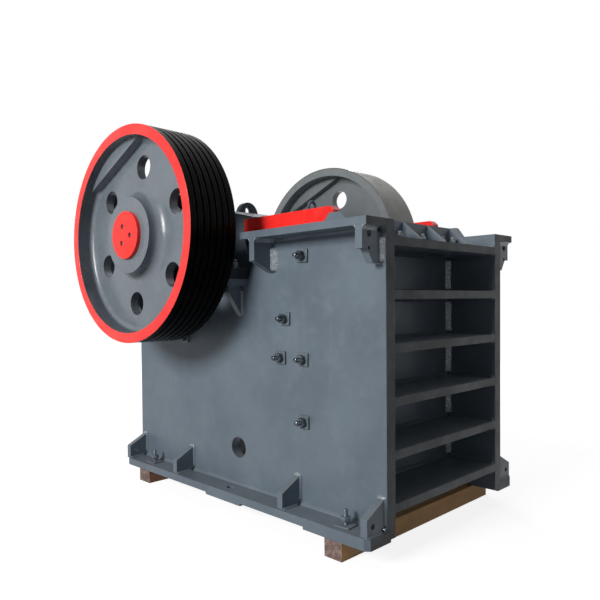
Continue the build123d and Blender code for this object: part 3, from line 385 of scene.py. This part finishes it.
look = {
    "fixed_jaw_plate": "cast", "swing_jaw_plate": "cast", "cheek_plate_lower_near": "cast",
    "cheek_plate_lower_far": "cast", "toggle_seat_front": "cast", "toggle_seat_rear": "cast",
    "cheek_plate_upper_near": "red", "cheek_plate_upper_far": "red",
    "timber_front": "timber", "timber_rear": "old_timber", "tension_rod": "steel",
    "tension_pin": "steel", "tension_nut": "bolt", "tension_spring": "spring",
    "eccentric_shaft": "steel", "flywheel": "wheel", "belt_pulley": "pulley",
    "pulley_cap": "redcap", "flywheel_cap": "redcap", "swing_jaw": "housing", "bearing_housing_near": "housing",
    "bearing_housing_far": "housing", "bearing_cover_near": "housing", "bearing_cover_far": "housing",
}
for name, obj in nodes.items():
    mat = MAT[look.get(name, "frame")]
    obj.data.materials.clear()
    obj.data.materials.append(mat)
    for p in obj.data.polygons:
        p.material_index = 0


# Mesh helpers
def finish_mesh(name, bm, mat, body="frame", smooth=None):
    me = bpy.data.meshes.new(name)
    bm.to_mesh(me)
    bm.free()
    me.materials.append(mat)
    ob = bpy.data.objects.new(name, me)
    scene.collection.objects.link(ob)
    if smooth is not None:
        me.shade_smooth() if smooth == 0 else me.set_sharp_from_angle(angle=math.radians(smooth))
    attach(ob, body)
    return ob


def basis(axis):
    """A frame whose third column is the axis."""
    w = Vector(axis).normalized()
    u = Vector((0, 0, 1)).cross(w)
    if u.length < 1e-4:
        u = Vector((1, 0, 0))
    u.normalize()
    return Matrix((u, w.cross(u), w)).transposed()


def skin(bm, loops):
    """Faces between neighbouring loops, closed at both ends."""
    m = len(loops[0])
    for a, b in zip(loops, loops[1:]):
        for i in range(m):
            bm.faces.new((a[i], a[(i + 1) % m], b[(i + 1) % m], b[i]))
    bm.faces.new(list(reversed(loops[0])))
    bm.faces.new(loops[-1])


def lathe(bm, origin, axis, rings, n=24, turn=0.0):
    """Rings of (radius, height) about an axis, closed at both ends."""
    rot = basis(axis)
    o = Vector(origin)
    loops = []
    for r, h in rings:
        loop = []
        for i in range(n):
            a = turn + 2 * math.pi * i / n
            loop.append(bm.verts.new(o + rot @ Vector((r * math.cos(a), r * math.sin(a), h))))
        loops.append(loop)
    skin(bm, loops)


def hex_nut(bm, origin, axis, flats, height, turn=0.0):
    """A nut with chamfered corners, standing on origin."""
    rot = basis(axis)
    o = Vector(origin)
    rc = flats / math.sqrt(3)
    ri = flats / 2
    cham = (rc - ri) * 0.58
    n = 36
    loops = []
    for h, cut in ((0.0, 1.0), (cham, 0.0), (height - cham, 0.0), (height, 1.0)):
        loop = []
        for i in range(n):
            a = 2 * math.pi * i / n
            seg = (a + math.pi / 6) % (math.pi / 3) - math.pi / 6
            rr = ri / math.cos(seg)
            rr = min(rr, ri + (rc - ri) * (1 - cut)) if cut else rr
            corner = Vector((rr * math.cos(a + turn), rr * math.sin(a + turn), h))
            loop.append(bm.verts.new(o + rot @ corner))
        loops.append(loop)
    skin(bm, loops)


def square_washer(bm, origin, axis, size, thick, turn=0.0):
    """A square plate washer with cut corners and a bevelled top."""
    rot = basis(axis) @ Matrix.Rotation(turn, 3, "Z")
    o = Vector(origin)
    bevel, c = 0.0018, 0.004
    rings = []
    for s, h in ((size / 2, 0.0), (size / 2, thick - bevel), (size / 2 - bevel, thick)):
        pts = [
            (s - c, -s), (s, -s + c), (s, s - c), (s - c, s),
            (-s + c, s), (-s, s - c), (-s, -s + c), (-s + c, -s),
        ]
        rings.append([bm.verts.new(o + rot @ Vector((x, y, h))) for x, y in pts])
    skin(bm, rings)


def threaded_end(bm, origin, axis, radius, h0, h1, pitch=0.0036):
    """A stud end with a ridged thread and a domed tip."""
    rings = [(radius * 0.9, h0)]
    h = h0
    while h + pitch < h1 - radius * 0.22:
        rings.append((radius * 0.93, h))
        rings.append((radius, h + pitch * 0.5))
        h += pitch
    rings.append((radius * 0.93, h))
    rings.append((radius * 0.90, h1 - radius * 0.18))
    rings.append((radius * 0.70, h1 - radius * 0.05))
    rings.append((radius * 0.30, h1))
    lathe(bm, origin, axis, rings, n=20)


def plate_bolt(bm, at, axis, nut, nut_h, stud, reach, washer=0.0, turn=0.0):
    """A stud with its nut, on a round washer or on a square one made apart."""
    w = 0.006 if washer else 0.014
    if washer:
        r, lip = washer / 2, 0.001
        lathe(bm, at, axis, [(r, 0.0), (r, w - lip), (r - lip, w)], n=28)
    top = Vector(at) + Vector(axis).normalized() * w
    hex_nut(bm, top, axis, nut, nut_h, turn + 0.3)
    threaded_end(bm, at, axis, stud, w + nut_h * 0.5, reach)


rng = random.Random(11)


def bead(bm, a, b, u, v, leg, step=0.0045, jitter=0.05):
    """A hand-laid fillet weld from a to b in the corner between directions u and v."""
    a, b, u, v = Vector(a), Vector(b), Vector(u).normalized(), Vector(v).normalized()
    length = (b - a).length
    n = max(3, int(length / step))
    d = (b - a) / n
    loops = []
    wander = 0.0
    for i in range(n + 1):
        wander = 0.86 * wander + rng.uniform(-1, 1) * jitter
        ripple = 1.0 + (0.055 if i % 3 == 0 else (0.01 if i % 3 == 1 else -0.035)) + wander * 0.35
        end = min(1.0, 0.55 + 0.45 * min(i, n - i) / 2.0)
        s = leg * ripple * end
        p = a + d * i
        skew = wander * 0.5
        pts = [
            p + u * (s * (1 + skew)) - v * SINK,
            p + u * (s * (0.86 + skew)) + v * s * 0.14,
            p + u * (s * 0.58) + v * s * 0.50,
            p + u * (s * 0.50) + v * s * 0.58,
            p + u * (s * 0.14) + v * s * (0.86 - skew),
            p + v * (s * (1 - skew)) - u * SINK,
            p - (u + v) * SINK,
        ]
        loops.append([bm.verts.new(q) for q in pts])
    skin(bm, loops)


def cove(bm, a, b, u, v, radius, arc=7):
    """A dressed, hollow corner from a to b between directions u and v."""
    a, b, u, v = Vector(a), Vector(b), Vector(u).normalized(), Vector(v).normalized()
    n = max(2, int((b - a).length / 0.010))
    loops = []
    for i in range(n + 1):
        p = a + (b - a) * (i / n)
        r = radius * (1 + rng.uniform(-1, 1) * 0.035)
        pts = [p - (u + v) * SINK, p + u * r - v * SINK]
        for k in range(arc + 1):
            t = math.pi / 2 * k / arc
            pts.append(p + u * r * (1 - math.sin(t)) + v * r * (1 - math.cos(t)))
        pts.append(p + v * r - u * SINK)
        loops.append([bm.verts.new(q) for q in pts])
    skin(bm, loops)


def eye_ring(bm, centre, axis, major, minor, n=36, m=14):
    """The round eye of a lifting bolt."""
    rot = basis(axis)
    o = Vector(centre)
    loops = []
    for i in range(n):
        a = 2 * math.pi * i / n
        radial = Vector((math.cos(a), math.sin(a), 0))
        loop = []
        for j in range(m):
            b = 2 * math.pi * j / m
            point = radial * (major + minor * math.cos(b)) + Vector((0, 0, minor * math.sin(b)))
            loop.append(bm.verts.new(o + rot @ point))
        loops.append(loop)
    for i in range(n):
        p, q = loops[i], loops[(i + 1) % n]
        for j in range(m):
            bm.faces.new((p[j], q[j], q[(j + 1) % m], p[(j + 1) % m]))


X, Y, Z = Vector((1, 0, 0)), Vector((0, 1, 0)), Vector((0, 0, 1))

# Cheek plate bolts through both side plates
cheek_bolts = [
    (0.582, 1.553), (0.446, 1.202), (0.411, 0.978), (0.581, 0.977), (0.584, 0.628), (-0.498, 1.064),
]
for side, word in ((-1, "near"), (1, "far")):
    bm = bmesh.new()
    for i, (x, z) in enumerate(cheek_bolts):
        plate_bolt(bm, (x, side * OUT_Y, z), (0, side, 0),
                   nut=0.048, nut_h=0.030, stud=0.0135, reach=0.078, turn=0.02 * (i % 3 - 1))
    finish_mesh("cheek_bolts_" + word, bm, MAT["bolt"], smooth=35)
    bm = bmesh.new()
    for i, (x, z) in enumerate(cheek_bolts):
        square_washer(bm, (x, side * OUT_Y, z), (0, side, 0), 0.074, 0.014, 0.02 * (i % 3 - 1))
    finish_mesh("cheek_washers_" + word, bm, MAT["washer"], smooth=35)

# Foundation studs in the end holes of the base flanges
for side, word in ((-1, "near"), (1, "far")):
    bm = bmesh.new()
    for x in ANCHOR_X:
        at = Vector((x, side * ANCHOR_Y, BASE_TOP))
        hex_nut(bm, at + Z * 0.026, (0, 0, 1), 0.046, 0.022, turn=0.5)
        threaded_end(bm, at, (0, 0, 1), 0.0110, -0.040, 0.088, pitch=0.0030)
    finish_mesh("foundation_studs_" + word, bm, MAT["washer"], smooth=35)
    bm = bmesh.new()
    for x in ANCHOR_X:
        square_washer(bm, (x, side * ANCHOR_Y, BASE_TOP), (0, 0, 1), 0.090, 0.007, turn=0.1)
    finish_mesh("foundation_washers_" + word, bm, MAT["frame"], smooth=35)

# Pins through the snipes of the front base gussets
for side, word in ((-1, "near"), (1, "far")):
    bm = bmesh.new()
    at = (1.050, side * (OUT_Y + 0.0125), BASE_TOP + 0.0125)
    pin = [(0.0085, 0.0), (0.0095, 0.001), (0.0095, 0.0680), (0.0088, 0.0690), (0.0060, 0.0690), (0.0056, 0.0640)]
    lathe(bm, at, (1, 0, 0), pin, n=24)
    finish_mesh("gusset_pin_" + word, bm, MAT["bolt"], smooth=35)

# Bolts on the shaft's end caps
for side, word in ((-1, "pulley"), (1, "flywheel")):
    bm = bmesh.new()
    for k in range(3):
        a = math.radians(-5 + 120 * k)
        r = CAP_BOLT_CIRCLE
        at = (SHAFT_X + r * math.cos(a), side * CAP_BOLT_Y, SHAFT_Z + r * math.sin(a))
        hex_nut(bm, at, (0, side, 0), 0.024, 0.010, turn=0.4 * k)
    finish_mesh(word + "_cap_bolts", bm, MAT["bolt"], body="rotor", smooth=35)

# Bolts round the bearing covers, and the housings' own hold-down bolts
for side, word in ((-1, "near"), (1, "far")):
    bm = bmesh.new()
    for k in range(8):
        a = math.radians(22.5 + 45 * k)
        r = COVER_BOLT_CIRCLE
        at = (SHAFT_X + r * math.cos(a), side * COVER_Y, SHAFT_Z + r * math.sin(a))
        hex_nut(bm, at, (0, side, 0), 0.030, 0.016, turn=0.2 * k)
    for dx in (-0.440, 0.440):
        for y in (0.590, 0.694):
            plate_bolt(bm, (SHAFT_X + dx, side * y, SEAT_TOP + 0.070), (0, 0, 1),
                       washer=0.062, nut=0.050, nut_h=0.030, stud=0.015, reach=0.058)
    finish_mesh("housing_bolts_" + word, bm, MAT["washer"], smooth=35)

# Lifting eye bolts on top of the bearing housings
for side, word in ((-1, "near"), (1, "far")):
    bm = bmesh.new()
    lo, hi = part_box("bearing_housing_" + word)
    at = Vector((SHAFT_X, side * 0.654, hi.z))
    collar = [(0.030, -0.003), (0.032, 0.002), (0.032, 0.012), (0.022, 0.020), (0.014, 0.024)]
    lathe(bm, at, (0, 0, 1), collar, n=32)
    eye_ring(bm, at + Z * 0.058, (1, 0, 0), 0.041, 0.0115)
    finish_mesh("housing_eyebolt_" + word, bm, MAT["frame"], smooth=50)

# Clamp bolts at the foot of the feed guard
bm = bmesh.new()
for y in (-0.385, -0.165, 0.045, 0.155):
    plate_bolt(bm, (1.050, y, GUARD_Z), (0, 0, 1),
               washer=0.042, nut=0.030, nut_h=0.020, stud=0.010, reach=0.042)
# These clamp bolts take the pale weld enamel, a painted highlight.
finish_mesh("guard_bolts", bm, MAT["weld"], smooth=35)

# Welds of the front frame
bm = bmesh.new()
for z in SHELF_Z:
    for s in (-1, 1):
        face = z + s * HALF_SHELF
        for side in (-1, 1):
            y = side * IN_Y
            bead(bm, (WALL_X + 0.01, y, face), (FRONT_X - 0.004, y, face), Z * s, Y * -side, 0.016)
        bead(bm, (WALL_X, -IN_Y + 0.01, face), (WALL_X, IN_Y - 0.01, face), Z * s, X, 0.016)
finish_mesh("front_welds", bm, MAT["frame"], smooth=60)
bm = bmesh.new()
for side in (-1, 1):
    y = side * IN_Y
    for a, b in zip(SHELF_Z, SHELF_Z[1:]):
        bead(bm, (WALL_X, y, a - HALF_SHELF - 0.01), (WALL_X, y, b + HALF_SHELF + 0.01), X, Y * -side, 0.026)
    bead(bm, (WALL_X, y, SHELF_Z[0] + HALF_SHELF + 0.01), (WALL_X, y, CAP_TOP - 0.004), X, Y * -side, 0.022)
finish_mesh("corner_welds", bm, MAT["weld"], smooth=60)

# Welds of the base flanges, the top flanges, the bearing seats and their gussets
for side, word in ((-1, "near"), (1, "far")):
    plate, out = side * OUT_Y, Y * side
    bm = bmesh.new()
    cuts = [FRONT_X - 0.003] + [x + s * 0.018 for x in BASE_GUSSET_X for s in (1, -1)] + [-1.043]
    for a, b in zip(cuts[0::2], cuts[1::2]):
        if a - b > 0.02:
            bead(bm, (a, plate, BASE_TOP), (b, plate, BASE_TOP), Z, out, 0.017)
    for x in BASE_GUSSET_X:
        for s in (-1, 1):
            g = x + s * HALF_GUSSET
            leg = 0.009 if g > 1.1 else 0.013
            bead(bm, (g, plate, BASE_TOP + 0.024), (g, plate, 0.320), X * s, out, leg)
            bead(bm, (g, side * (OUT_Y + 0.024), BASE_TOP), (g, side * 0.762, BASE_TOP), X * s, Z, leg)
    finish_mesh("base_welds_" + word, bm, MAT["frame"], smooth=60)
    bm = bmesh.new()
    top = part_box("base_gussets_" + word)[1].z - 0.002
    for x in BASE_GUSSET_X:
        bead(bm, (x - 0.024, plate, top), (x + 0.024, plate, top), Z, out, 0.0125, jitter=0.12)
    for x in TOP_GUSSET_X:
        foot, leg = (1.482, 0.0185) if x > 1 else (1.469, 0.0320)
        front, rear = x + HALF_GUSSET, x - HALF_GUSSET
        bead(bm, (front, plate, 1.612), (front, plate, foot + 0.006), X, out, leg, jitter=0.06)
        bead(bm, (rear, plate, CAP_LOW - 0.030), (rear, plate, foot + 0.010), -X, out, 0.017)
        bead(bm, (x + 0.018, plate, foot), (x - 0.018, plate, foot), -Z, out, 0.007)
        start, end = side * (OUT_Y + (0.040 if x > 1 else 0.001)), side * 0.7735
        cove(bm, (front, start, CAP_LOW), (front, end, CAP_LOW), X, -Z, 0.0238)
        cove(bm, (rear, start, CAP_LOW), (rear, end, CAP_LOW), -X, -Z, 0.0200)
    finish_mesh("side_welds_" + word, bm, MAT["weld"], smooth=60)
    bm = bmesh.new()
    for x in SEAT_GUSSET_X:
        for s in (-1, 1):
            g = x + s * HALF_GUSSET
            bead(bm, (g, plate, SEAT_LOW - 0.024), (g, plate, 1.212), X * s, out, 0.014)
            bead(bm, (g, side * (OUT_Y + 0.024), SEAT_LOW), (g, side * 0.722, SEAT_LOW), X * s, -Z, 0.013)
    bead(bm, (0.036, plate, SEAT_LOW), (-1.001, plate, SEAT_LOW), -Z, out, 0.015)
    bead(bm, (FRONT_X - 0.003, plate, CAP_LOW), (0.362, plate, CAP_LOW), -Z, out, 0.016)
    bead(bm, (0.314, plate, CAP_LOW), (0.243, plate, CAP_LOW), -Z, out, 0.016)
    finish_mesh("seat_welds_" + word, bm, MAT["frame"], smooth=60)

# Welds of the top: cheek stops and the feed guard
bm = bmesh.new()
for side in (-1, 1):
    for s in (-1, 1):
        y = side * (OUT_Y if s == 1 else 0.574)
        bead(bm, (0.722, y, CAP_TOP), (0.888, y, CAP_TOP), Y * (side * s), Z, 0.012)
for x, s in ((1.005, 1), (0.985, -1)):
    runs = [(-0.416, -0.292), (-0.270, -0.046), (-0.024, 0.200)] if s == 1 else [(-0.416, 0.221)]
    for a, b in runs:
        bead(bm, (x, a, GUARD_Z), (x, b, GUARD_Z), X * s, Z, 0.009)
for y in (-0.281, -0.035, 0.211):
    for s in (-1, 1):
        edge = y + s * 0.010
        bead(bm, (1.014, edge, GUARD_Z), (1.108, edge, GUARD_Z), Y * s, Z, 0.009)
finish_mesh("top_welds", bm, MAT["frame"], smooth=60)

# Welds of the rear frame
bm = bmesh.new()
for z in REAR_SHELF_Z:
    for s in (-1, 1):
        face = z + s * HALF_SHELF
        for side in (-1, 1):
            y = side * IN_Y
            bead(bm, (-0.770, y, face), (REAR_X + 0.004, y, face), Z * s, Y * -side, 0.014)
        if z < 1.2 or s < 0:
            bead(bm, (REAR_WALL_X, -IN_Y + 0.01, face), (REAR_WALL_X, IN_Y - 0.01, face), Z * s, -X, 0.014)
for side in (-1, 1):
    y = side * IN_Y
    bead(bm, (REAR_WALL_X, y, 0.195), (REAR_WALL_X, y, 1.225), -X, Y * -side, 0.014)
finish_mesh("rear_welds", bm, MAT["frame"], smooth=60)

# Coil spring on the tension rod, in place of its plain tube
lo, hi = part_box("tension_spring")
cy, cz = (lo.y + hi.y) / 2, (lo.z + hi.z) / 2
bm = bmesh.new()
turns, wire, coil = 6.0, 0.0105, 0.0435
x0, x1 = lo.x + wire, hi.x - wire
steps, sides = int(turns * 28), 12
loops = []
for i in range(steps + 1):
    t = i / steps
    a = 2 * math.pi * turns * t
    k = min(1.0, max(0.0, (t - 0.06) / 0.88))
    centre = Vector((x0 + (x1 - x0) * k, cy + coil * math.cos(a), cz + coil * math.sin(a)))
    out = Vector((0, math.cos(a), math.sin(a)))
    loop = []
    for j in range(sides):
        b = 2 * math.pi * j / sides
        loop.append(bm.verts.new(centre + wire * (math.cos(b) * out + math.sin(b) * X)))
    loops.append(loop)
for p, q in zip(loops, loops[1:]):
    for i in range(sides):
        bm.faces.new((p[i], q[i], q[(i + 1) % sides], p[(i + 1) % sides]))
bm.faces.new(loops[0])
bm.faces.new(list(reversed(loops[-1])))
spring = finish_mesh("coil_spring", bm, MAT["spring"], smooth=60)
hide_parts("tension_spring")


# Floor and background: white to the camera, dim as a light, with the floor keeping the shadow
floor_bm = bmesh.new()
bmesh.ops.create_grid(floor_bm, x_segments=1, y_segments=1, size=60)
floor_mesh = bpy.data.meshes.new("floor")
floor_bm.to_mesh(floor_mesh)
floor_bm.free()
floor = bpy.data.objects.new("floor", floor_mesh)
scene.collection.objects.link(floor)
fm = Nodes("floor_pale")
fm.tree.nodes.remove(fm.bsdf)
diff = fm.add("ShaderNodeBsdfDiffuse")
diff.inputs["Color"].default_value = (0.27, 0.27, 0.27, 1)
glow = fm.add("ShaderNodeEmission")
glow.inputs["Color"].default_value = (1, 1, 1, 1)
lp = fm.add("ShaderNodeLightPath")
seen = fm.math("ADD", lp.outputs["Is Camera Ray"], lp.outputs["Is Glossy Ray"])
seen = fm.math("ADD", seen, lp.outputs["Is Transmission Ray"], clamp=True)
fx, fy, _ = fm.xyz()
away = fm.math("SQRT", fm.math("ADD", fm.math("MULTIPLY", fx, fx), fm.math("MULTIPLY", fy, fy)))
fm.link(fm.math("MULTIPLY", seen, fm.ramp(away, 2.2, 6.0, 0.86, 1.0)), glow.inputs["Strength"])
both = fm.add("ShaderNodeAddShader")
fm.link(diff.outputs[0], both.inputs[0])
fm.link(glow.outputs[0], both.inputs[1])
fm.link(both.outputs[0], fm.out.inputs[0])
floor_mesh.materials.append(fm.mat)

world = bpy.data.worlds.new("studio")
scene.world = world
world.use_nodes = True
wt = world.node_tree
wt.nodes.clear()
wout = wt.nodes.new("ShaderNodeOutputWorld")
wmix = wt.nodes.new("ShaderNodeMixShader")
wlit = wt.nodes.new("ShaderNodeBackground")
wlit.inputs["Color"].default_value = (0.93, 0.96, 1.0, 1)
wlit.inputs["Strength"].default_value = 0.11
wseen = wt.nodes.new("ShaderNodeBackground")
wseen.inputs["Color"].default_value = (1, 1, 1, 1)
wseen.inputs["Strength"].default_value = 1.0
wlp = wt.nodes.new("ShaderNodeLightPath")
seen_directly = wt.nodes.new("ShaderNodeMath")
seen_any = wt.nodes.new("ShaderNodeMath")
seen_any.use_clamp = True
wt.links.new(wlp.outputs["Is Camera Ray"], seen_directly.inputs[0])
wt.links.new(wlp.outputs["Is Glossy Ray"], seen_directly.inputs[1])
wt.links.new(seen_directly.outputs[0], seen_any.inputs[0])
wt.links.new(wlp.outputs["Is Transmission Ray"], seen_any.inputs[1])
wt.links.new(seen_any.outputs[0], wmix.inputs["Fac"])
wt.links.new(wlit.outputs[0], wmix.inputs[1])
wt.links.new(wseen.outputs[0], wmix.inputs[2])
wt.links.new(wmix.outputs[0], wout.inputs["Surface"])


def area(name, at, target, size, power, color=(1, 1, 1)):
    """A rectangular lamp at one place, aimed at another."""
    data = bpy.data.lights.new(name, "AREA")
    data.shape = "RECTANGLE"
    data.size, data.size_y = size
    data.energy = power
    data.color = color
    ob = bpy.data.objects.new(name, data)
    scene.collection.objects.link(ob)
    ob.location = at
    ob.rotation_euler = (Vector(target) - Vector(at)).to_track_quat("-Z", "Y").to_euler()


area("key", (0.2, -9.2, 4.2), (0, 0, 1.0), (2.6, 2.4), 880, (1.0, 0.99, 0.97))
area("overhead", (-0.5, 0.0, 7.5), (0, 0, 0.8), (5.0, 5.0), 130)
area("front_fill", (6.5, -6.5, 2.2), (0, 0, 1.0), (2.0, 2.0), 16, (0.95, 0.98, 1.0))
area("rear_fill", (-6.5, 6.5, 4.0), (0, 0, 1.0), (4.0, 4.0), 400)

# Camera at the photograph's place
yaw, pitch, roll = math.radians(48.404), math.radians(-1.4246), math.radians(-0.6566)
fwd = Vector((-math.sin(yaw) * math.cos(pitch), math.cos(yaw) * math.cos(pitch), math.sin(pitch)))
right = Vector((math.cos(yaw), math.sin(yaw), 0))
up = right.cross(fwd)
rolled_right = right * math.cos(roll) + up * math.sin(roll)
rolled_up = up * math.cos(roll) - right * math.sin(roll)
cam = bpy.data.cameras.new("camera")
cam.sensor_fit = "HORIZONTAL"
cam.sensor_width = 36.0
cam.lens = 36.0
cam.shift_x = (300 - 232.90) / 600
cam.shift_y = (317.44 - 300) / 600
cam.clip_end = 200
cam_ob = bpy.data.objects.new("camera", cam)
scene.collection.objects.link(cam_ob)
place = Matrix((rolled_right, rolled_up, -fwd)).transposed().to_4x4()
place.translation = Vector((2.8103, -3.1159, 1.2976))
cam_ob.matrix_world = place
scene.camera = cam_ob
scene.view_settings.view_transform = "Standard"
